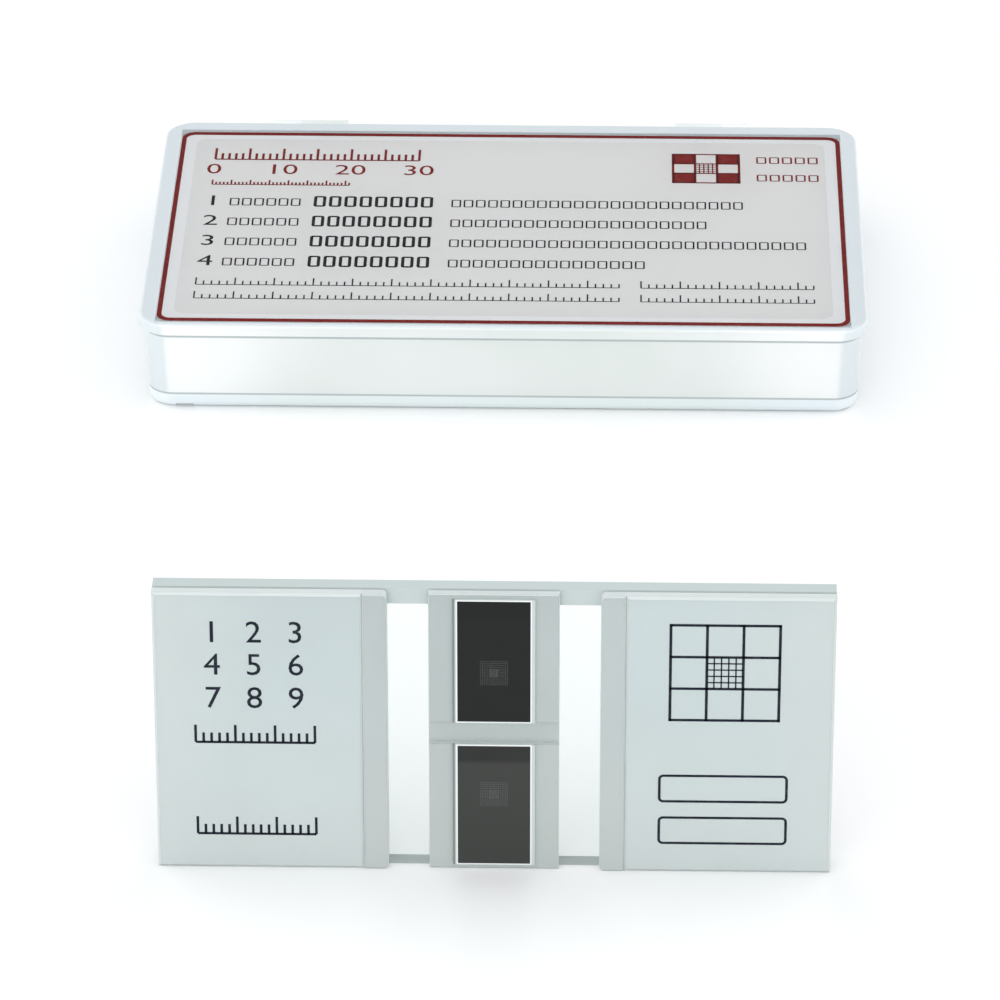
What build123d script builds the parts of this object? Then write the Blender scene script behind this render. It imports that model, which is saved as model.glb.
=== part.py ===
from build123d import *
import os
from math import cos, radians, sin, sqrt

# Hemocytometer set: a glass counting chamber standing on its long edge, and behind it the closed,
# clear storage case that it is kept in. Millimetres, +Z up, +X to the right as the chamber is read,
# +Y away from the reader. The origin is on the ground, under the middle of the whole set.

os.makedirs("parts", exist_ok=True)

# Chamber: driving dimensions
chamber_length = 75.0
chamber_height = 35.0
base_plate_thickness = 2.5
block_thickness = 1.2
counting_depth = 0.1
chamber_offset_x = 1.2

# Chamber: widths outward from the middle of its length
bar_width = 14.4
slot_width = 4.55
rail_width = 2.7

# Chamber: counting platforms and grooves
platform_width = 9.1
platform_height = 15.5
platform_thickness = 0.25
cross_groove_width = 2.8
cross_groove_depth = 0.45

# Chamber: edge finish
plate_arris = 0.25
block_arris = 0.3
rail_arris = 0.12
rail_corner_radius = 0.6
upper_bevel_height = 1.7
upper_bevel_depth = 0.45

# Case: driving dimensions
case_gap = 110.0
lid_width = 92.0
lid_depth = 60.5
lid_corner_radius = 4.0
case_height = 12.2
lid_band_height = 1.5
lid_plate_thickness = 1.2
lid_edge_radius = 0.5
lid_overhang = 0.65
wall_thickness = 1.5
wall_draft = 0.4
floor_thickness = 1.6
foot_edge_radius = 1.0
foot_rim_width = 3.0
foot_recess_depth = 0.6

# Case: rim that the lid drops over
lip_inset = 0.5
lip_width = 0.6
lip_height = 0.25
lip_clearance = 0.2

# Case: small slot in the foot, front left
foot_slot_width = 2.3
foot_slot_height = 0.5
foot_slot_x = -40.3

# Case: hinge
hinge_setback = 1.9
hinge_height = 9.9
barrel_radius = 1.6
pin_radius = 0.7
pin_clearance = 0.05
ear_inner_x = 28.5
ear_width = 3.0
knuckle_width = 6.3
knuckle_gap = 0.2
pin_end_gap = 0.3
arm_thickness = 1.2
gusset_drop = 5.0
lid_opening = 110.0
heel_reach = 2.78
heel_face_drop = 0.15

# Case contents
card_width = 87.8
card_depth = 56.2
card_thickness = 0.25
card_corner_radius = 2.0
card_shift_y = -0.2
pad_gap = 0.1
foam_gap = 0.35
foam_corner_radius = 2.2
foam_base_thickness = 2.3
foam_surround_thickness = 4.4
recess_clearance = 0.5
scoop_radius = 7.0
cover_glass_length = 26.0
cover_glass_width = 20.0
cover_glass_thickness = 0.4
cover_pocket_clearance = 0.3
cover_pocket_depth = 1.3
tissue_thickness = 0.1

# Chamber: places worked out from the above
chamber_thickness = base_plate_thickness + block_thickness
bar_half = bar_width / 2
rail_inner_x = bar_half + slot_width
rail_outer_x = rail_inner_x + rail_width
end_plate_length = chamber_length / 2 - rail_outer_x
bar_thickness = block_thickness - counting_depth - platform_thickness

# Case: places worked out from the above
lid_bottom_z = case_height - lid_band_height
lid_plate_z = case_height - lid_plate_thickness
tray_width = lid_width - 2 * lid_overhang
tray_depth = lid_depth - 2 * lid_overhang
wall_from_axis = hinge_setback + lid_overhang


def stop_point(drop):
    """Point of the closed lid, from the hinge axis, that reaches the tray's back wall once the lid is
    open, this far below the axis."""
    angle = radians(lid_opening)
    back = -wall_from_axis * cos(angle) + drop * sin(angle)
    up = -wall_from_axis * sin(angle) - drop * cos(angle)
    return back, up


heel_tip = stop_point(sqrt(heel_reach ** 2 - wall_from_axis ** 2))

# The whole set, front face of the chamber to the back of the hinge, is centred on the origin.
set_length = case_gap + lid_depth + hinge_setback + heel_tip[0]
chamber_front_y = -set_length / 2
case_centre_y = chamber_front_y + case_gap + lid_depth / 2
hinge_y = case_centre_y + lid_depth / 2 + hinge_setback
card_top_z = lid_plate_z
pad_top_z = card_top_z - card_thickness
foam_surround_z = floor_thickness + foam_base_thickness
foam_surround_top_z = foam_surround_z + foam_surround_thickness
pad_bottom_z = foam_surround_top_z + pad_gap
cover_pocket_z = foam_surround_z - cover_pocket_depth


def rounded_slab(length, width, corner, low_z, high_z):
    """Slab with rounded upright corners, centred on the case in plan."""
    plan = Pos(0, case_centre_y, low_z) * RectangleRounded(length, width, corner)
    return extrude(plan, high_z - low_z)


def drafted_slab(length, width, corner, low_z, high_z):
    """Slab that narrows towards its foot by the moulding draft. Length and width are at the tray's rim."""
    def plan_at(height):
        shrink = wall_draft * (lid_bottom_z - height) / lid_bottom_z
        outline = RectangleRounded(length - 2 * shrink, width - 2 * shrink, corner)
        return Pos(0, case_centre_y, height) * outline
    return loft([plan_at(low_z), plan_at(high_z)])


def across(profile, start_x, end_x):
    """Extrude an outline drawn in the Y-Z plane from one X to another."""
    return extrude(Plane.YZ.offset(start_x) * profile, end_x - start_x, dir=(1, 0, 0))


def hinge_outline(points):
    """Closed outline whose points are given from the hinge axis as (back, up)."""
    return Polygon(*[(hinge_y + back, hinge_height + up) for back, up in points], align=None)


def hinge_disc(radius):
    """Disc about the hinge axis."""
    return Pos(hinge_y, hinge_height) * Circle(radius)


def stood_up(shape):
    """Chamber pieces are drawn lying flat, face up, then turned up onto their lower long edge."""
    place = Location((chamber_offset_x, chamber_front_y + chamber_thickness, 0), (90, 0, 0))
    return place * shape


def flat_block(low_x, high_x, low_y, high_y, low_z, high_z):
    """Block given by its corners in the chamber's flat drawing position."""
    size = (high_x - low_x, high_y - low_y, high_z - low_z)
    corner = Align.MIN
    return Pos(low_x, low_y, low_z) * Box(*size, align=(corner, corner, corner))


def face_edges(shape):
    """Edges round the upper, front-facing side of a flat chamber piece."""
    return shape.faces().sort_by(Axis.Z)[-1].edges()


def make_base_plate():
    """Polished plate of the full outline, with arrissed edges and a ground bevel on its upper long edge."""
    half = chamber_length / 2
    plate = flat_block(-half, half, 0, chamber_height, 0, base_plate_thickness)
    plate = chamfer(plate.faces().sort_by(Axis.Z)[0].edges(), plate_arris)
    bevel = Polygon(
        (chamber_height, base_plate_thickness - upper_bevel_depth),
        (chamber_height, base_plate_thickness),
        (chamber_height - upper_bevel_height, base_plate_thickness),
        align=None,
    )
    return plate - across(bevel, -half, half)


def make_end_plate(side):
    """Ground glass block at one end, bevelled round its front face."""
    near, far = sorted((side * rail_outer_x, side * chamber_length / 2))
    top = base_plate_thickness + block_thickness
    block = flat_block(near, far, 0, chamber_height, base_plate_thickness, top)
    return chamfer(face_edges(block), block_arris)


def make_rail(side):
    """Polished strip that a cover glass rests on, with its slot-side corners rounded."""
    near, far = sorted((side * rail_inner_x, side * rail_outer_x))
    top = base_plate_thickness + block_thickness
    rail = flat_block(near, far, 0, chamber_height, base_plate_thickness, top)
    uprights = rail.edges().filter_by(Axis.Z).sort_by(Axis.X)
    slot_side = uprights[:2] if side > 0 else uprights[-2:]
    rail = fillet(slot_side, rail_corner_radius)
    return chamfer(face_edges(rail), rail_arris)


def make_counting_bar():
    """Middle block, set lower than the rails, with a cross groove between the two platforms."""
    top = base_plate_thickness + bar_thickness
    bar = flat_block(-bar_half, bar_half, 0, chamber_height, base_plate_thickness, top)
    bar = chamfer(face_edges(bar), rail_arris)
    middle = chamber_height / 2
    half_groove = cross_groove_width / 2
    groove_z = top - cross_groove_depth
    groove = flat_block(-bar_width, bar_width, middle - half_groove, middle + half_groove, groove_z, top + 1)
    return bar - groove


def make_platform(upper):
    """Mirror-coated counting platform, a thin plate whose face lies just below the rails."""
    half_groove = cross_groove_width / 2
    low_y = chamber_height / 2 - half_groove - platform_height
    if upper:
        low_y = chamber_height / 2 + half_groove
    low_z = base_plate_thickness + bar_thickness
    half = platform_width / 2
    return flat_block(-half, half, low_y, low_y + platform_height, low_z, low_z + platform_thickness)


def make_hinge_ear(side):
    """Ear on the back of the tray, bored for the lid's pin, with a gusset down the wall."""
    start, end = sorted((side * ear_inner_x, side * (ear_inner_x + ear_width)))
    wall = -wall_from_axis - wall_thickness / 2
    outline = hinge_outline([
        (wall, lip_height),
        (0, lip_height),
        (barrel_radius, 0),
        (0, -barrel_radius),
        (wall, -gusset_drop),
    ])
    ear = across(outline + hinge_disc(barrel_radius), start, end)
    return ear - across(hinge_disc(pin_radius + pin_clearance), start - 1, end + 1)


def make_case_tray():
    """Clear tray: drafted walls, a rim for the lid, a foot rim underneath and two hinge ears."""
    tray = drafted_slab(tray_width, tray_depth, lid_corner_radius - lid_overhang, 0, lid_bottom_z)
    tray = fillet(tray.faces().sort_by(Axis.Z)[0].edges(), foot_edge_radius)
    inner_width = tray_width - 2 * wall_thickness
    inner_depth = tray_depth - 2 * wall_thickness
    ears = [make_hinge_ear(side) for side in (-1, 1)]
    tray = tray + ears
    tray -= drafted_slab(inner_width, inner_depth, foam_corner_radius, floor_thickness, lid_bottom_z)
    lip_outer = rounded_slab(
        tray_width - 2 * lip_inset, tray_depth - 2 * lip_inset, lid_corner_radius - 1.2,
        lid_bottom_z, lid_bottom_z + lip_height,
    )
    lip_hole = rounded_slab(
        tray_width - 2 * (lip_inset + lip_width), tray_depth - 2 * (lip_inset + lip_width),
        lid_corner_radius - 1.6, lid_bottom_z, lid_bottom_z + lip_height,
    )
    tray += lip_outer - lip_hole
    tray -= rounded_slab(
        tray_width - 2 * (foot_rim_width + wall_draft), tray_depth - 2 * (foot_rim_width + wall_draft),
        foam_corner_radius, 0, foot_recess_depth,
    )
    front_y = case_centre_y - tray_depth / 2
    slot = Box(foot_slot_width, foot_rim_width * 3, foot_slot_height)
    return tray - Pos(foot_slot_x, front_y, foot_slot_height / 2) * slot


def make_lid_knuckle(side):
    """Barrel, arm, stop heel and pin of one hinge half, moulded with the lid."""
    outer_x = ear_inner_x - knuckle_gap
    start, end = sorted((side * outer_x, side * (outer_x - knuckle_width)))
    arm = hinge_outline([
        (-hinge_setback - 1.0, lid_bottom_z - hinge_height),
        (-hinge_setback - 1.0, lid_bottom_z - hinge_height + arm_thickness),
        (0.2, barrel_radius - 0.02),
        (0.2, 0),
        (-hinge_setback + 0.2, lid_bottom_z - hinge_height),
    ])
    heel = hinge_outline([(0, 0), (barrel_radius, 0), heel_tip, stop_point(heel_face_drop)])
    knuckle = across(hinge_disc(barrel_radius) + arm + heel, start, end)
    pin_start, pin_end = sorted((side * outer_x, side * (ear_inner_x + ear_width - pin_end_gap)))
    return knuckle + across(hinge_disc(pin_radius), pin_start, pin_end)


def make_case_lid():
    """Clear lid: a flat plate with a low band round it, and the hinge halves on its back edge."""
    lid = rounded_slab(lid_width, lid_depth, lid_corner_radius, lid_bottom_z, case_height)
    lid = fillet(lid.faces().sort_by(Axis.Z)[-1].edges(), lid_edge_radius)
    lid += [make_lid_knuckle(side) for side in (-1, 1)]
    inset = lid_overhang + lip_inset - lip_clearance
    return lid - rounded_slab(
        lid_width - 2 * inset, lid_depth - 2 * inset, lid_corner_radius - inset, lid_bottom_z, lid_plate_z
    )


def make_record_card():
    """Printed card that lies against the underside of the lid plate."""
    card = rounded_slab(card_width, card_depth, card_corner_radius, pad_top_z, card_top_z)
    return Pos(0, card_shift_y, 0) * card


def foam_slab(low_z, high_z):
    """Foam sheet cut to fit loosely between the tray's walls."""
    narrowest = 2 * (wall_thickness + wall_draft + foam_gap)
    return rounded_slab(tray_width - narrowest, tray_depth - narrowest, foam_corner_radius, low_z, high_z)


def make_lid_pad():
    """Foam sheet that backs the card and closes down on the chamber."""
    return foam_slab(pad_bottom_z, pad_top_z)


def make_foam_base():
    """Foam sheet on the tray floor, with a shallow pocket for the cover glasses."""
    pocket = rounded_slab(
        cover_glass_length + 2 * cover_pocket_clearance, cover_glass_width + 2 * cover_pocket_clearance,
        rail_corner_radius, cover_pocket_z, foam_surround_z,
    )
    return foam_slab(floor_thickness, foam_surround_z) - pocket


def make_foam_surround():
    """Foam layer with the chamber's cut-out and a finger scoop on each long side of it."""
    length = chamber_length + 2 * recess_clearance
    width = chamber_height + 2 * recess_clearance
    recess = rounded_slab(length, width, recess_clearance, foam_surround_z, foam_surround_top_z)
    foam = foam_slab(foam_surround_z, foam_surround_top_z) - recess
    for side in (-1, 1):
        centre = Pos(0, case_centre_y + side * width / 2, foam_surround_z)
        foam -= centre * extrude(Circle(scoop_radius), foam_surround_thickness)
    return foam


def make_cover_glass(low_z):
    """Thin ground cover glass, lying flat in its pocket."""
    return rounded_slab(cover_glass_length, cover_glass_width, plate_arris, low_z, low_z + cover_glass_thickness)


def make_tissue(low_z):
    """Lens tissue that keeps the two cover glasses apart."""
    return rounded_slab(cover_glass_length, cover_glass_width, plate_arris, low_z, low_z + tissue_thickness)


tissue_z = cover_pocket_z + cover_glass_thickness
upper_cover_z = tissue_z + tissue_thickness

nodes = {
    "chamber_base_plate": stood_up(make_base_plate()),
    "end_plate_left": stood_up(make_end_plate(-1)),
    "end_plate_right": stood_up(make_end_plate(1)),
    "support_rail_left": stood_up(make_rail(-1)),
    "support_rail_right": stood_up(make_rail(1)),
    "counting_bar": stood_up(make_counting_bar()),
    "counting_platform_upper": stood_up(make_platform(True)),
    "counting_platform_lower": stood_up(make_platform(False)),
    "case_tray": make_case_tray(),
    "case_lid": make_case_lid(),
    "record_card": make_record_card(),
    "lid_pad": make_lid_pad(),
    "foam_base": make_foam_base(),
    "foam_surround": make_foam_surround(),
    "cover_glass_lower": make_cover_glass(cover_pocket_z),
    "cover_glass_tissue": make_tissue(tissue_z),
    "cover_glass_upper": make_cover_glass(upper_cover_z),
}

for name, shape in nodes.items():
    shape.label = name
    export_step(shape, f"parts/{name}.step")
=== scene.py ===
from math import cos, radians, sin

import bpy
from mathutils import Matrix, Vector


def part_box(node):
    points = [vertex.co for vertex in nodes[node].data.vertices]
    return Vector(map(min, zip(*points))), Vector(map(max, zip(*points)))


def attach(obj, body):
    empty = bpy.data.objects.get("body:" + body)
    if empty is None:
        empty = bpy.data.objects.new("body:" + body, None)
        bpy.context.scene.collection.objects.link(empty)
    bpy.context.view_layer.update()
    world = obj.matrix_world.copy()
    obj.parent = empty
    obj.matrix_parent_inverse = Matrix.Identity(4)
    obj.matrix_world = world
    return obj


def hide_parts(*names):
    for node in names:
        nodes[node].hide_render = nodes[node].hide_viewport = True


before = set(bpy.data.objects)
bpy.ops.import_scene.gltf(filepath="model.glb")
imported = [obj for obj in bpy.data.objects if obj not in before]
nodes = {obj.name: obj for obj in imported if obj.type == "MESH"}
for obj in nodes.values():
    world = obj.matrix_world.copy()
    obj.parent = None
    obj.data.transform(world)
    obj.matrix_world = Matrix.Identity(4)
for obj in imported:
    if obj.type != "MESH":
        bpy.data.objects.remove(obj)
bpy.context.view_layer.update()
MM = 0.001

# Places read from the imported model, in millimetres
base_low, base_high = [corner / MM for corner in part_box("chamber_base_plate")]
front_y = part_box("end_plate_left")[0].y / MM
platform_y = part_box("counting_platform_upper")[0].y / MM
chamber_x = (base_low.x + base_high.x) / 2
chamber_z = (base_low.z + base_high.z) / 2
lid_low, lid_high = [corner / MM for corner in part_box("case_lid")]
card_low, card_high = [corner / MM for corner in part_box("record_card")]
card_x = (card_low.x + card_high.x) / 2
card_y = (card_low.y + card_high.y) / 2
card_half_x = (card_high.x - card_low.x) / 2
card_half_y = (card_high.y - card_low.y) / 2

# The lid plate ends here, before the hinge knuckles behind it
lid_depth = 60.5
lid_back_y = lid_low.y + lid_depth

# Heights of the case's foot and of the lower edge of the band round its lid
foot_top_z = 2.2
lid_band_z = lid_high.z - 1.5

glass_ior = 1.52
plastic_ior = 1.49


# Camera in front of the set and above it, turned a little to the left
camera_data = bpy.data.cameras.new("view_camera")
camera_data.lens = 235.7
camera_data.sensor_width = 36.0
camera_data.clip_start = 0.01
camera_data.clip_end = 50.0
camera = bpy.data.objects.new("view_camera", camera_data)
bpy.context.scene.collection.objects.link(camera)
bpy.context.scene.camera = camera
camera.location = (0.0143, -0.71166, 0.3837)
view_turn = radians(-1.14)
view_drop = radians(28.33)
view_line = Vector((sin(view_turn) * cos(view_drop), cos(view_turn) * cos(view_drop), -sin(view_drop)))
camera.rotation_mode = "QUATERNION"
camera.rotation_quaternion = view_line.to_track_quat("-Z", "Y")


class Shader:
    """A material with one principled surface, and short ways to add procedural nodes to it."""

    def __init__(self, name, colour, roughness):
        self.material = bpy.data.materials.new(name)
        self.material.use_nodes = True
        self.tree = self.material.node_tree
        self.surface = self.tree.nodes["Principled BSDF"]
        self.put("Base Color", rgb(*colour))
        self.put("Roughness", roughness)
        self.places = self.tree.nodes.new("ShaderNodeTexCoord")
        self.relief = None

    def put(self, socket, value):
        """Set or link one input of the surface."""
        self.feed(self.surface.inputs[socket], value)

    def feed(self, socket, value):
        """Link a node's output to a socket, or set the socket to a plain value."""
        if isinstance(value, bpy.types.NodeSocket):
            self.tree.links.new(value, socket)
        else:
            socket.default_value = value

    def math(self, operation, first, second=0.0):
        """One number worked out from two."""
        node = self.tree.nodes.new("ShaderNodeMath")
        node.operation = operation
        self.feed(node.inputs[0], first)
        self.feed(node.inputs[1], second)
        return node.outputs[0]

    def axis(self, name, source="Object"):
        """One coordinate of the surface point, in metres, or of its normal."""
        node = self.tree.nodes.new("ShaderNodeSeparateXYZ")
        self.feed(node.inputs[0], self.places.outputs[source])
        return node.outputs[name]

    def off(self, name, middle=0.0, source="Object"):
        """Distance of a coordinate from a middle value, to either side."""
        return self.math("ABSOLUTE", self.math("SUBTRACT", self.axis(name, source), middle))

    def step(self, value, low, high, soft_low=0.0, soft_high=1.0):
        """Smooth step of a value from low to high."""
        node = self.tree.nodes.new("ShaderNodeMapRange")
        node.interpolation_type = "SMOOTHSTEP"
        self.feed(node.inputs["Value"], value)
        self.feed(node.inputs["From Min"], low)
        self.feed(node.inputs["From Max"], high)
        self.feed(node.inputs["To Min"], soft_low)
        self.feed(node.inputs["To Max"], soft_high)
        return node.outputs["Result"]

    def noise(self, size, detail=3.0, stretch=(1.0, 1.0, 1.0)):
        """Noise whose features are about size metres across."""
        spread = self.tree.nodes.new("ShaderNodeMapping")
        self.feed(spread.inputs["Vector"], self.places.outputs["Object"])
        spread.inputs["Scale"].default_value = stretch
        node = self.tree.nodes.new("ShaderNodeTexNoise")
        self.feed(node.inputs["Vector"], spread.outputs["Vector"])
        node.inputs["Scale"].default_value = 1.0 / size
        node.inputs["Detail"].default_value = detail
        return node.outputs["Fac"]

    def cells(self, size):
        """Distance to the nearest of scattered points about size metres apart."""
        node = self.tree.nodes.new("ShaderNodeTexVoronoi")
        self.feed(node.inputs["Vector"], self.places.outputs["Object"])
        node.inputs["Scale"].default_value = 1.0 / size
        return node.outputs["Distance"]

    def blend(self, factor, first, second):
        """Colour between two others."""
        node = self.tree.nodes.new("ShaderNodeMix")
        node.data_type = "RGBA"
        self.feed(node.inputs["Factor"], factor)
        self.feed(node.inputs[6], first)
        self.feed(node.inputs[7], second)
        return node.outputs[2]

    def bump(self, height, depth, strength=1.0):
        """Relief of depth metres. A second call adds to the first."""
        node = self.tree.nodes.new("ShaderNodeBump")
        node.inputs["Strength"].default_value = strength
        node.inputs["Distance"].default_value = depth
        self.feed(node.inputs["Height"], height)
        if self.relief is not None:
            self.feed(node.inputs["Normal"], self.relief)
        self.relief = node.outputs["Normal"]
        self.put("Normal", self.relief)


def rgb(red, green, blue):
    """Colour given by its three parts."""
    return (red, green, blue, 1.0)


def shade(colour, *amounts):
    """Colour with its parts multiplied by one amount each, or all by the same one."""
    if len(amounts) == 1:
        amounts = amounts * 3
    return rgb(*[part * amount for part, amount in zip(colour, amounts)])


def ground_glass(name, colour, edge_highlight_colour):
    """Finely ground glass, with a painted highlight that makes its bevels and sides whiter than its broad
    front face.
    """
    pale_near_x = 22.0 * MM
    pale_far_x = 37.0 * MM
    pale_high_z = 26.0 * MM
    pale_low_z = 4.0 * MM
    glow_tone = shade(colour, 1.14, 1.08, 1.05)
    shader = Shader(name, colour, 0.5)

    # Faint clouds over the front face, with a painted glow toward the chamber's two ends and a painted
    # reflection toward its lower edge
    cloud = shader.step(shader.noise(0.016, 2.0), 0.3, 0.7)
    tone = shader.blend(cloud, shade(colour, 0.975), shade(colour, 1.03))
    glow_toward_end = shader.step(shader.off("X", chamber_x * MM), pale_near_x, pale_far_x, 0.0, 0.55)
    reflection_toward_foot = shader.step(shader.axis("Z"), pale_high_z, pale_low_z, 0.0, 0.5)
    tone = shader.blend(shader.math("MAXIMUM", glow_toward_end, reflection_toward_foot), tone, glow_tone)

    # Painted highlight: every face that does not face front, the bevels and sides, takes the paler edge
    # colour
    facing = shader.step(shader.math("MULTIPLY", shader.axis("Y", "Normal"), -1.0), 0.8, 0.98)
    shader.put("Base Color", shader.blend(facing, rgb(*edge_highlight_colour), tone))
    shader.put("Roughness", shader.step(shader.noise(0.0012), 0.3, 0.7, 0.42, 0.55))
    shader.put("Transmission Weight", 0.25)
    shader.put("IOR", glass_ior)
    shader.bump(shader.noise(0.00022, 4.0), 0.00001)
    return shader


def polished_plate():
    """Clear plate: polished on its two broad faces, ground white round its edges."""
    clear = (0.95, 0.985, 0.975)
    ground = (0.5, 0.56, 0.55)
    shader = Shader("polished_plate_glass", clear, 0.02)
    broad = shader.step(shader.off("Y", source="Normal"), 0.97, 0.995)
    shader.put("Base Color", shader.blend(broad, rgb(*ground), rgb(*clear)))

    # Rough on the ground edges only, with faint smears everywhere
    smear = shader.step(shader.noise(0.006), 0.4, 0.8, 0.0, 0.03)
    rough = shader.step(shader.noise(0.0008), 0.3, 0.7, 0.4, 0.5)
    rough = shader.math("MULTIPLY", rough, shader.math("SUBTRACT", 1.0, broad))
    shader.put("Roughness", shader.math("ADD", rough, smear))
    shader.put("Transmission Weight", shader.step(broad, 0.0, 1.0, 0.05, 1.0))
    shader.put("Specular IOR Level", 0.3)
    shader.put("IOR", glass_ior)
    return shader


def clear_plastic():
    """Moulded plastic, clear over the card and milky at the lid's margins, the walls and the foot."""
    clear = (0.97, 0.985, 0.995)
    wall_tone = rgb(0.98, 0.99, 0.985)
    foot_tone = rgb(0.76, 0.83, 0.86)
    smoke_tone = rgb(0.72, 0.78, 0.75)
    corner_shade_tone = rgb(0.8, 0.86, 0.88)
    upward_shade_tone = rgb(0.66, 0.71, 0.735)
    line_tone = rgb(0.5, 0.55, 0.56)
    shader = Shader("clear_moulded_plastic", clear, 0.03)
    shader.put("Roughness", shader.step(shader.noise(0.012, 5.0), 0.35, 0.75, 0.015, 0.05))
    height = shader.axis("Z")
    off_middle = shader.off("X")

    # The clear part follows the card's outline, as seen slanting down through the lid from the front
    past_side = shader.math("SUBTRACT", off_middle, (card_half_x - 0.1) * MM)
    past_front = shader.math("SUBTRACT", (card_low.y - 0.9) * MM, shader.axis("Y"))
    past_back = shader.math("SUBTRACT", shader.axis("Y"), (card_high.y - 0.3) * MM)
    past_card = shader.math("MAXIMUM", past_side, shader.math("MAXIMUM", past_front, past_back))
    beside_card = shader.step(past_card, 0.0, 0.15 * MM)
    below_card = shader.step(height, (card_high.z - 0.01) * MM, (card_high.z - 0.04) * MM)
    rim = shader.math("MAXIMUM", beside_card, below_card)

    # Walls let a little light through, and the foot none
    above_foot = shader.step(height, (foot_top_z - 0.5) * MM, foot_top_z * MM)
    let_through = shader.step(above_foot, 0.0, 1.0, 0.0, 0.18)
    shader.put("Transmission Weight", shader.step(rim, 0.0, 1.0, 1.0, let_through))

    # Milky tones: a blue foot, a smoky middle of the walls, and painted shade in blue on the corners and on
    # upward faces
    milky = shader.blend(above_foot, foot_tone, wall_tone)
    near_middle = shader.step(off_middle, 40.0 * MM, 22.0 * MM)
    smoke = shader.math("MULTIPLY", near_middle, shader.noise(0.03, 2.0))
    milky = shader.blend(smoke, milky, smoke_tone)
    # Painted shade: side-facing corners take a darker blue tone
    corner = shader.step(shader.off("X", source="Normal"), 0.1, 0.35)
    milky = shader.blend(corner, milky, corner_shade_tone)
    # Painted shade: upward faces before the hinge knuckles are darker
    upward_shade = shader.step(shader.axis("Z", "Normal"), 0.5, 0.9)
    before_knuckles = shader.step(shader.axis("Y"), (lid_back_y + 0.2) * MM, lid_back_y * MM)
    milky = shader.blend(shader.math("MULTIPLY", upward_shade, before_knuckles), milky, upward_shade_tone)

    # Thin dark lines: a painted shadow under the lid's band, and a dark line along the top of the foot
    shadow_and_foot_lines = []
    for low_z, low_soft, high_z, high_soft in (
        (lid_band_z - 0.65, 0.1, lid_band_z - 0.01, 0.03),
        (foot_top_z - 0.35, 0.1, foot_top_z, 0.1),
    ):
        above = shader.step(height, low_z * MM, (low_z + low_soft) * MM)
        below = shader.step(height, high_z * MM, (high_z - high_soft) * MM)
        shadow_and_foot_lines.append(shader.math("MULTIPLY", above, below))
    milky = shader.blend(shader.math("MAXIMUM", *shadow_and_foot_lines), milky, line_tone)

    shader.put("Base Color", shader.blend(rim, rgb(*clear), milky))
    shader.put("Specular IOR Level", 0.15)
    shader.put("IOR", plastic_ior)
    shader.bump(shader.noise(0.02, 1.0), 0.00004, 0.6)
    return shader


def mirror_coat(name, node, dark, light):
    """Dark metallised rectangle on a glass platform, with a painted highlight line round it on the ground
    margin, and a painted shadow of the gap along the platform's left edge.
    """
    coat_half_x = 4.03 * MM
    coat_gap_z = 0.16 * MM
    line_inner = 0.13 * MM
    line_outer = 0.18 * MM
    line_tone = rgb(0.82, 0.85, 0.84)
    ground_tone = rgb(0.54, 0.59, 0.585)
    gap_shadow_tone = rgb(0.2, 0.22, 0.22)
    low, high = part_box(node)
    shader = Shader(name, (0.02, 0.022, 0.021), 0.08)
    past_x = shader.math("SUBTRACT", shader.off("X", (low.x + high.x) / 2), coat_half_x)
    past_z = shader.math("SUBTRACT", shader.off("Z", (low.z + high.z) / 2), (high.z - low.z) / 2 - coat_gap_z)
    past = shader.math("MAXIMUM", past_x, past_z)
    outside = shader.step(past, -0.01 * MM, 0.02 * MM)

    # Round the coat: a painted highlight line, then ground glass, and a painted shadow of the gap along the
    # left edge
    margin = shader.blend(shader.step(past, line_inner, line_outer), line_tone, ground_tone)
    left_gap_shadow = shader.step(shader.axis("X"), low.x + 0.3 * MM, low.x + 0.15 * MM)
    margin = shader.blend(left_gap_shadow, margin, gap_shadow_tone)

    # Painted reflection: the coat is a little lighter below its top strip
    film = shader.blend(shader.noise(0.004, 2.0), rgb(*dark), rgb(*light))
    below_top_reflection = shader.step(shader.axis("Z"), high.z - 1.8 * MM, high.z - 2.6 * MM)
    film = shader.blend(below_top_reflection, film, shade(light, 1.6))
    shader.put("Specular IOR Level", 0.25)
    shader.put("Base Color", shader.blend(outside, film, margin))
    shader.put("Roughness", shader.step(outside, 0.0, 1.0, 0.07, 0.45))
    return shader


def paper(name, colour):
    """Smooth card with a faint fibre grain."""
    shader = Shader(name, colour, 0.6)
    fleck = shader.noise(0.0004, 4.0)
    shader.put("Base Color", shader.blend(fleck, shade(colour, 0.97), rgb(*colour)))
    shader.bump(fleck, 0.00001)
    return shader


def print_ink(name, colour):
    """Printing ink, slightly uneven in strength."""
    weakness = 0.02
    shader = Shader(name, colour, 0.5)
    weak = [part + (1.0 - part) * weakness for part in colour]
    patch = shader.step(shader.noise(0.0007), 0.4, 0.8)
    shader.put("Base Color", shader.blend(patch, rgb(*colour), rgb(*weak)))
    shader.put("Specular IOR Level", 0.1)
    return shader


def ruled_line():
    """Pale line cut through the coat."""
    shader = Shader("ruled_line", (0.2, 0.21, 0.205), 0.4)
    shader.put("Roughness", shader.step(shader.noise(0.001), 0.3, 0.7, 0.35, 0.5))
    return shader


def foam():
    """Fine closed-cell foam, white, with tiny cut cells over its surface."""
    shader = Shader("white_foam", (0.9, 0.915, 0.91), 0.9)
    cell = shader.cells(0.0004)
    shader.put("Base Color", shader.blend(cell, rgb(0.93, 0.94, 0.935), rgb(0.84, 0.86, 0.855)))
    shader.bump(cell, 0.00006)
    shader.bump(shader.noise(0.006, 2.0), 0.0001)
    shader.put("Sheen Weight", 0.1)
    return shader


def tissue_paper():
    """Thin lens tissue with soft long fibres."""
    shader = Shader("lens_tissue", (0.9, 0.9, 0.88), 0.8)
    fibre = shader.noise(0.0006, 6.0, (1.0, 6.0, 1.0))
    shader.put("Base Color", shader.blend(fibre, rgb(0.84, 0.84, 0.82), rgb(0.94, 0.94, 0.93)))
    shader.bump(fibre, 0.00003)
    return shader


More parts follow.
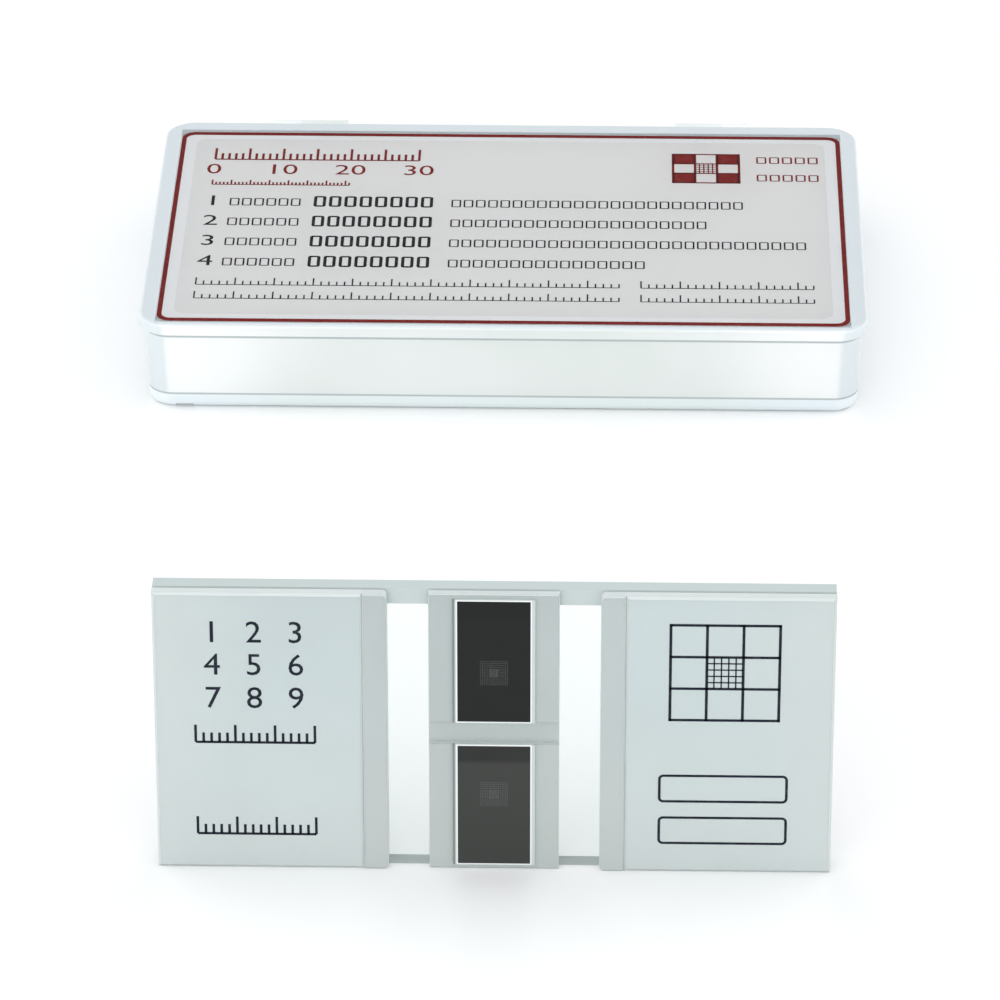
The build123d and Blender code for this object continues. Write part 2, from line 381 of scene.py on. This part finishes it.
def thin_cover_glass():
    """Clear cover glass, with slightly ground edges."""
    clear = (0.93, 0.98, 0.965)
    shader = Shader("thin_cover_glass", clear, 0.02)
    flat = shader.step(shader.off("Z", source="Normal"), 0.7, 0.95)
    shader.put("Roughness", shader.step(flat, 0.0, 1.0, 0.3, 0.02))
    shader.put("Base Color", shader.blend(flat, rgb(0.8, 0.9, 0.87), rgb(*clear)))
    shader.put("Transmission Weight", 0.9)
    shader.put("IOR", glass_ior)
    return shader


def pale_floor():
    """Almost white, slightly uneven floor."""
    shader = Shader("pale_floor", (0.92, 0.92, 0.92), 0.3)
    tone = shader.blend(shader.noise(0.05), rgb(0.915, 0.915, 0.915), rgb(0.925, 0.925, 0.925))
    shader.put("Base Color", tone)
    return shader


def dress(name, shader, swelling=0.0):
    """Give a CAD node its material, and move its surface out or in by a hair where faces would coincide."""
    obj = nodes[name]
    obj.data.materials.clear()
    obj.data.materials.append(shader.material)
    if swelling:
        change = obj.modifiers.new("hair", "DISPLACE")
        change.mid_level = 0.0
        change.strength = swelling


glass_swelling = 0.02 * MM
cover_swelling = -0.015 * MM
end_glass = ground_glass("ground_end_glass", (0.62, 0.7, 0.7), (0.76, 0.81, 0.8))
rail_glass = ground_glass("polished_rail_glass", (0.55, 0.61, 0.605), (0.72, 0.77, 0.765))
bar_glass = ground_glass("ground_bar_glass", (0.53, 0.59, 0.58), (0.72, 0.77, 0.765))
case_plastic = clear_plastic()
foam_look = foam()

for side in ("left", "right"):
    dress(f"end_plate_{side}", end_glass, glass_swelling)
    dress(f"support_rail_{side}", rail_glass, glass_swelling)
dress("counting_bar", bar_glass, glass_swelling)
# Painted reflection: the lower coat's tones are lighter than the upper's, though both are the same metal film
coat_tones_with_reflection = {
    "upper": ((0.002, 0.0025, 0.002), (0.003, 0.0035, 0.003)),
    "lower": ((0.013, 0.014, 0.013), (0.024, 0.025, 0.023)),
}
for level, (dark, light) in coat_tones_with_reflection.items():
    node = f"counting_platform_{level}"
    dress(node, mirror_coat(f"mirror_coat_{level}", node, dark, light))
dress("chamber_base_plate", polished_plate())
dress("case_tray", case_plastic)
dress("case_lid", case_plastic, -0.01 * MM)
dress("record_card", paper("record_card_paper", (0.86, 0.865, 0.87)), 0.03 * MM)
dress("cover_glass_lower", thin_cover_glass(), cover_swelling)
dress("cover_glass_upper", thin_cover_glass(), cover_swelling)
dress("cover_glass_tissue", tissue_paper(), cover_swelling)

# Clear pieces let the lamps through
for name in ("chamber_base_plate", "case_tray", "case_lid", "cover_glass_lower", "cover_glass_upper"):
    nodes[name].visible_shadow = False


def rounded_outline(left, right, low, high, radius, steps=6):
    """Points of a rounded rectangle, anticlockwise."""
    points = []
    centres = [
        (right - radius, low + radius, -90),
        (right - radius, high - radius, 0),
        (left + radius, high - radius, 90),
        (left + radius, low + radius, 180),
    ]
    for centre_x, centre_y, start in centres:
        for i in range(steps + 1):
            angle = radians(start + 90 * i / steps)
            points.append((centre_x + radius * cos(angle), centre_y + radius * sin(angle)))
    return points


def digit_shapes(text, height):
    """Outlines of plain figures as a flat mesh: its points, in millimetres, and its faces."""
    height_of_size_one = 0.7
    curve = bpy.data.curves.new("figures", "FONT")
    curve.body = text
    curve.size = height / height_of_size_one
    curve.align_x = "CENTER"
    curve.resolution_u = 3
    holder = bpy.data.objects.new("figures", curve)
    bpy.context.scene.collection.objects.link(holder)
    bpy.context.view_layer.update()
    mesh = bpy.data.meshes.new_from_object(holder.evaluated_get(bpy.context.evaluated_depsgraph_get()))
    points = [(vertex.co.x, vertex.co.y) for vertex in mesh.vertices]
    faces = [list(face.vertices) for face in mesh.polygons]
    bpy.data.objects.remove(holder)
    bpy.data.curves.remove(curve)
    bpy.data.meshes.remove(mesh)
    return points, faces


class Print:
    """Flat printed shapes gathered into one mesh. Points are given in millimetres on the printed plane."""

    def __init__(self, place, thickness):
        self.place = place
        self.thickness = thickness
        self.corners = []
        self.faces = []

    def outline(self, points, inner_points=None):
        """Filled outline, or the band between it and an inner outline with as many points."""
        start = len(self.corners)
        count = len(points)
        for lift in (0.0, self.thickness):
            self.corners += [self.place(x, y, lift) for x, y in points]
        if inner_points is None:
            self.faces.append([start + count + i for i in range(count)])
            self.faces.append([start + i for i in reversed(range(count))])
            self.wall(start, start + count, count)
            return
        inner = len(self.corners)
        for lift in (0.0, self.thickness):
            self.corners += [self.place(x, y, lift) for x, y in inner_points]
        self.wall(start, start + count, count)
        self.wall(inner + count, inner, count)
        self.wall(start + count, inner + count, count)
        self.wall(inner, start, count)

    def wall(self, low, high, count):
        """Quads between two closed rows of points."""
        for i in range(count):
            after = (i + 1) % count
            self.faces.append([low + i, low + after, high + after, high + i])

    def bar(self, left, right, low, high):
        """Filled rectangle."""
        self.outline([(left, low), (right, low), (right, high), (left, high)])

    def upright(self, at, low, high, line):
        """Upright line about a place."""
        self.bar(at - line / 2, at + line / 2, low, high)

    def level(self, at, left, right, line):
        """Level line about a place."""
        self.bar(left, right, at - line / 2, at + line / 2)

    def ring(self, left, right, low, high, line, radius, level_line=None):
        """Rounded frame of the given line width, with another width for its level lines if stated."""
        level = line if level_line is None else level_line
        inner_radius = max(radius - line, 0.02)
        outer = rounded_outline(left, right, low, high, radius)
        inner = rounded_outline(left + line, right - line, low + level, high - level, inner_radius)
        self.outline(outer, inner)

    def boxes(self, left, base, count, pitch, height, line):
        """Row of small blank boxes to write one figure in each."""
        for i in range(count):
            start = left + pitch * i
            self.ring(start, start + pitch * 0.8, base, base + height, line, line)

    def digits(self, text, centre, base, height):
        """Plain figures, centred on a place."""
        points, faces = digit_shapes(text, height)
        start = len(self.corners)
        self.corners += [self.place(centre + x, base + y, self.thickness) for x, y in points]
        self.faces += [[start + i for i in face] for face in faces]

    def grid(self, left, low, size, line):
        """Square outline divided in three each way, its middle part divided once more in five."""
        for i in range(4):
            self.upright(left + size * i / 3, low - line / 2, low + size + line / 2, line)
            self.level(low + size * i / 3, left - line / 2, left + size + line / 2, line)
        part = size / 3
        for i in range(1, 5):
            self.upright(left + part + part * i / 5, low + part, low + 2 * part, line / 2)
            self.level(low + part + part * i / 5, left + part, left + 2 * part, line / 2)

    def scale(self, left, base, length, count, tall, line):
        """Row of ticks on a base line, each fifth one taller."""
        self.level(base, left, left + length, line)
        for i in range(count + 1):
            rise = tall if i % 5 == 0 else tall * 0.55
            self.upright(left + length * i / count, base, base + rise, line)

    def add_piece(self, name, shader, body):
        """The finished mesh, riding on a body."""
        mesh = bpy.data.meshes.new(name)
        mesh.from_pydata([Vector(corner) * MM for corner in self.corners], [], self.faces)
        mesh.update()
        obj = bpy.data.objects.new(name, mesh)
        bpy.context.scene.collection.objects.link(obj)
        mesh.materials.append(shader.material)
        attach(obj, body)


# Counting rulings on the two platforms: a 3 mm square with broad lines, and fine ones in its middle
film_thickness = 0.004
ruling_size = 3.0
ruling_half = ruling_size / 2
broad_line = 0.009
fine_line = 0.005
corner_pitch = 0.25
middle_pitch = 0.2
fine_pitch = 0.05
off_chamber_middle = 7.75
ruling_middles_z = {"upper": chamber_z + off_chamber_middle, "lower": chamber_z - off_chamber_middle}


def on_platform(x, z, lift):
    """Point on the platforms' front faces."""
    return (chamber_x + x, platform_y - lift, z)


broad_places = [corner_pitch * i for i in range(4)]
broad_places += [1.0 + middle_pitch * i for i in range(6)]
broad_places += [2.0 + corner_pitch * i for i in range(1, 5)]
fine_places = [1.0 + fine_pitch * i for i in range(1, 20)]
ruling_look = ruled_line()
for level, middle_z in ruling_middles_z.items():
    low = middle_z - ruling_half
    ruling = Print(on_platform, film_thickness)
    for at in broad_places:
        ruling.upright(at - ruling_half, low, low + ruling_size, broad_line)
        ruling.level(low + at, -ruling_half, ruling_half, broad_line)
    for at in fine_places:
        ruling.upright(at - ruling_half, low + 1.0, low + 2.0, fine_line)
        ruling.level(low + at, 1.0 - ruling_half, 2.0 - ruling_half, fine_line)
    ruling.add_piece(f"counting_ruling_{level}", ruling_look, "chamber")


# Plain figures, scales, a grid and two blank boxes fired onto the two end plates
plate_print_thickness = 0.012
plate_print_gap = 0.025
figure_rows_z = (28.9, 24.8, 20.6)
figure_pitch = 4.6


def on_end_plate(x, z, lift):
    """Point just before the end plates' front faces."""
    return (chamber_x + x, front_y - plate_print_gap - lift, z)


marks = Print(on_end_plate, plate_print_thickness)
for row, row_z in enumerate(figure_rows_z):
    for column in range(3):
        marks.digits(str(3 * row + column + 1), centre=-31.0 + figure_pitch * column, base=row_z, height=2.7)
for scale_z in (16.2, 4.4):
    marks.scale(left=-33.0, base=scale_z, length=13.2, count=15, tall=2.2, line=0.3)
marks.grid(left=19.4, low=19.6, size=12.0, line=0.32)
for box_z in (9.0, 3.6):
    marks.ring(left=18.2, right=32.6, low=box_z, high=box_z + 3.6, line=0.3, radius=0.6)
plate_ink = print_ink("plate_ink", (0.012, 0.016, 0.028))
marks.add_piece("end_plate_marks", plate_ink, "chamber")


# Print on the record card: a red frame round a grey panel, with ruled lines and blank boxes. The grey panel
# is painted shade, and the paler card margin round it a painted highlight
panel_gap = 2.2
frame_gap = 0.1
card_print_lift = 0.04
card_print_thickness = 0.006


def on_card(x, y, lift):
    """Point just over the card's upper face, under the lid plate."""
    return (card_x + x, card_y + y, card_high.z + card_print_lift + lift)


def over_panel(x, y, lift):
    """Point over the grey panel on the card."""
    return on_card(x, y, lift + card_print_thickness)


panel_x = card_half_x - panel_gap
panel_y = card_half_y - panel_gap
# Painted shade: the grey panel is darker than the card round it, and the paler margin left between them is a
# painted highlight
panel = Print(on_card, film_thickness)
panel.outline(rounded_outline(-panel_x, panel_x, -panel_y, panel_y, radius=1.6))
panel.add_piece("card_panel_painted_shade", paper("card_panel_painted_shade", (0.78, 0.77, 0.76)), "lid")

frame_x = card_half_x - frame_gap
frame_y = card_half_y - frame_gap
scale_left = -39.0
scale_length = 27.0
emblem_left = 21.6
emblem_low = 13.6
emblem_size = 8.7
emblem_part = emblem_size / 3
red = Print(over_panel, card_print_thickness)
red.ring(-frame_x, frame_x, -frame_y, frame_y, line=0.6, radius=1.8, level_line=0.9)
red.scale(scale_left, base=19.6, length=scale_length, count=30, tall=3.4, line=0.34)
for i in range(4):
    red.digits(str(i * 10), centre=scale_left + scale_length * i / 3, base=15.2, height=3.0)
red.scale(scale_left, base=11.9, length=18.0, count=36, tall=1.4, line=0.24)
red.grid(emblem_left, emblem_low, emblem_size, line=0.34)
for corner_x in (emblem_left, emblem_left + 2 * emblem_part):
    for corner_y in (emblem_low, emblem_low + 2 * emblem_part):
        red.bar(corner_x, corner_x + emblem_part, corner_y, corner_y + emblem_part)
for box_y in (19.6, 14.2):
    red.boxes(left=32.6, base=box_y, count=5, pitch=1.7, height=2.0, line=0.24)
red.add_piece("card_print_red", print_ink("red_ink", (0.2, 0.004, 0.002)), "lid")

first_row_y = 5.6
row_pitch = 5.9
boxes_in_row = (24, 21, 29, 16)
ruled_row_y = -17.6
ruled_row_pitch = 3.9
black = Print(over_panel, card_print_thickness)
for row, count in enumerate(boxes_in_row):
    base = first_row_y - row_pitch * row
    black.digits(str(row + 1), centre=-38.6, base=base, height=3.0)
    black.boxes(left=-36.4, base=base, count=6, pitch=1.6, height=2.2, line=0.22)
    black.boxes(left=-25.4, base=base - 0.2, count=8, pitch=2.0, height=3.2, line=0.42)
    black.boxes(left=-7.4, base=base, count=count, pitch=1.6, height=2.2, line=0.22)
for row in range(2):
    base = ruled_row_y - ruled_row_pitch * row
    black.scale(left=-39.4, base=base, length=54.0, count=54, tall=2.0, line=0.2)
    black.scale(left=17.4, base=base, length=22.0, count=22, tall=2.0, line=0.2)
black.add_piece("card_print_black", print_ink("black_ink", (0.006, 0.006, 0.007)), "lid")


def foam_piece(node, body):
    """Foam sheet with softened cut edges, made from the plain solid."""
    name = f"{node}_soft"
    obj = bpy.data.objects.new(name, nodes[node].data.copy())
    bpy.context.scene.collection.objects.link(obj)
    remesh = obj.modifiers.new("remesh", "REMESH")
    remesh.mode = "VOXEL"
    remesh.voxel_size = 0.6 * MM
    smooth = obj.modifiers.new("smooth", "SMOOTH")
    smooth.factor = 0.5
    smooth.iterations = 4
    bpy.context.view_layer.update()
    mesh = bpy.data.meshes.new_from_object(obj.evaluated_get(bpy.context.evaluated_depsgraph_get()))
    obj.modifiers.clear()
    obj.data = mesh
    mesh.materials.clear()
    mesh.materials.append(foam_look.material)
    for face in mesh.polygons:
        face.use_smooth = True
    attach(obj, body)
    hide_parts(node)


foam_piece("foam_base", "case")
foam_piece("foam_surround", "case")
foam_piece("lid_pad", "lid")


# Pale floor, just under the set
floor_half = 3.0
floor_z = -0.00005
floor_corners = [(x * floor_half, y * floor_half, floor_z) for x, y in ((-1, -1), (1, -1), (1, 1), (-1, 1))]
floor_mesh = bpy.data.meshes.new("floor")
floor_mesh.from_pydata(floor_corners, [], [(0, 1, 2, 3)])
floor_mesh.materials.append(pale_floor().material)
floor = bpy.data.objects.new("floor", floor_mesh)
bpy.context.scene.collection.objects.link(floor)

# Soft light from all round
world = bpy.data.worlds.new("studio")
bpy.context.scene.world = world
world.use_nodes = True
sky = world.node_tree
sky.nodes["Background"].inputs["Color"].default_value = rgb(0.97, 0.985, 1.0)

# A dark card stands behind the set, where the lid would otherwise mirror white and dull its print
card_inner_angle = radians(14)
card_outer_angle = radians(26)
toward_card = sky.nodes.new("ShaderNodeVectorMath")
toward_card.operation = "DOT_PRODUCT"
toward_card.inputs[1].default_value = (0.0, cos(view_drop), sin(view_drop))
sky.links.new(sky.nodes.new("ShaderNodeTexCoord").outputs["Generated"], toward_card.inputs[0])
card_shade = sky.nodes.new("ShaderNodeMapRange")
card_shade.interpolation_type = "SMOOTHSTEP"
card_shade.inputs["From Min"].default_value = cos(card_outer_angle)
card_shade.inputs["From Max"].default_value = cos(card_inner_angle)
card_shade.inputs["To Min"].default_value = 1.16
card_shade.inputs["To Max"].default_value = 0.15
sky.links.new(toward_card.outputs["Value"], card_shade.inputs["Value"])
sky.links.new(card_shade.outputs["Result"], sky.nodes["Background"].inputs["Strength"])


def soft_light(name, place, size, power):
    """Large square lamp aimed at the middle of the set."""
    data = bpy.data.lights.new(name, "AREA")
    data.shape = "SQUARE"
    data.size = size
    data.energy = power
    lamp = bpy.data.objects.new(name, data)
    bpy.context.scene.collection.objects.link(lamp)
    lamp.location = place
    lamp.rotation_mode = "QUATERNION"
    lamp.rotation_quaternion = (-Vector(place)).to_track_quat("-Z", "Y")


soft_light("overhead", place=(-0.1, 0.15, 1.1), size=1.0, power=2.0)
soft_light("front", place=(-0.35, -1.3, 0.55), size=0.9, power=2.5)

bpy.context.scene.view_settings.view_transform = "Standard"
bpy.context.scene.view_settings.look = "None"
